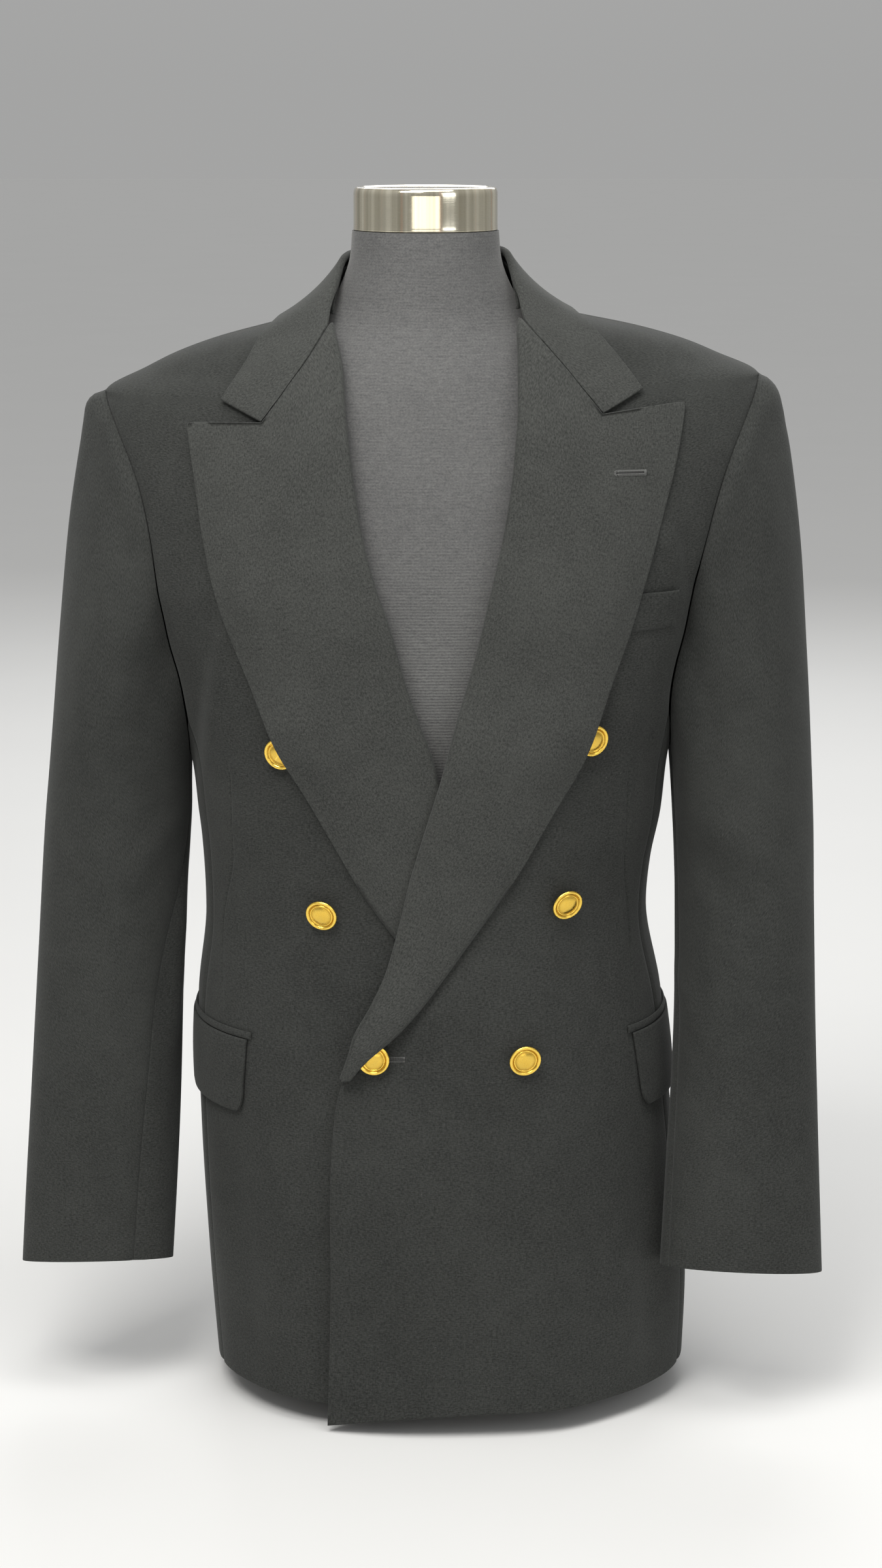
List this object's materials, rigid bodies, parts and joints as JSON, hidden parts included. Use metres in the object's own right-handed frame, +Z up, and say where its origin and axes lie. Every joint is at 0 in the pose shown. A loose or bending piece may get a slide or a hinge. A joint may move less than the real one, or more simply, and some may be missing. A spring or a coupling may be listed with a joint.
{
  "type": "double-breasted blazer on dress form",
  "caption": "Peak-lapel double-breasted blazer in charcoal wool with domed metal buttons, standing on a limbless jersey-covered dress form with a metal neck cap.",
  "frame": {"origin": "centre of the dress form's flat base", "axes": "+Z up, -Y the way the blazer's front faces, +X towards the wearer's left"},
  "size_m": [0.5894, 0.2776, 0.884],
  "materials": {
    "wool": "matte woven wool",
    "facing": "matte woven wool, pressed",
    "jersey": "ribbed jersey",
    "button_metal": "polished gold plate",
    "cap_metal": "polished"
  },
  "bodies": {
    "root": {"front_left": "wool", "front_right": "wool", "side_left": "wool", "side_right": "wool", "back_left": "wool", "back_right": "wool", "top_sleeve_left": "wool", "top_sleeve_right": "wool", "under_sleeve_left": "wool", "under_sleeve_right": "wool", "flap_left": "wool", "flap_right": "wool", "jet_left": "wool", "jet_right": "wool", "lapel_left": "facing", "lapel_right": "facing", "collar_fall": "facing", "collar_stand": "wool", "breast_welt": "wool", "button_left_top": "button_metal", "button_left_middle": "button_metal", "button_left_bottom": "button_metal", "button_right_top": "button_metal", "button_right_middle": "button_metal", "button_fastened": "button_metal", "form_torso": "jersey", "neck_cap": "cap_metal"}
  },
  "joints": []
}
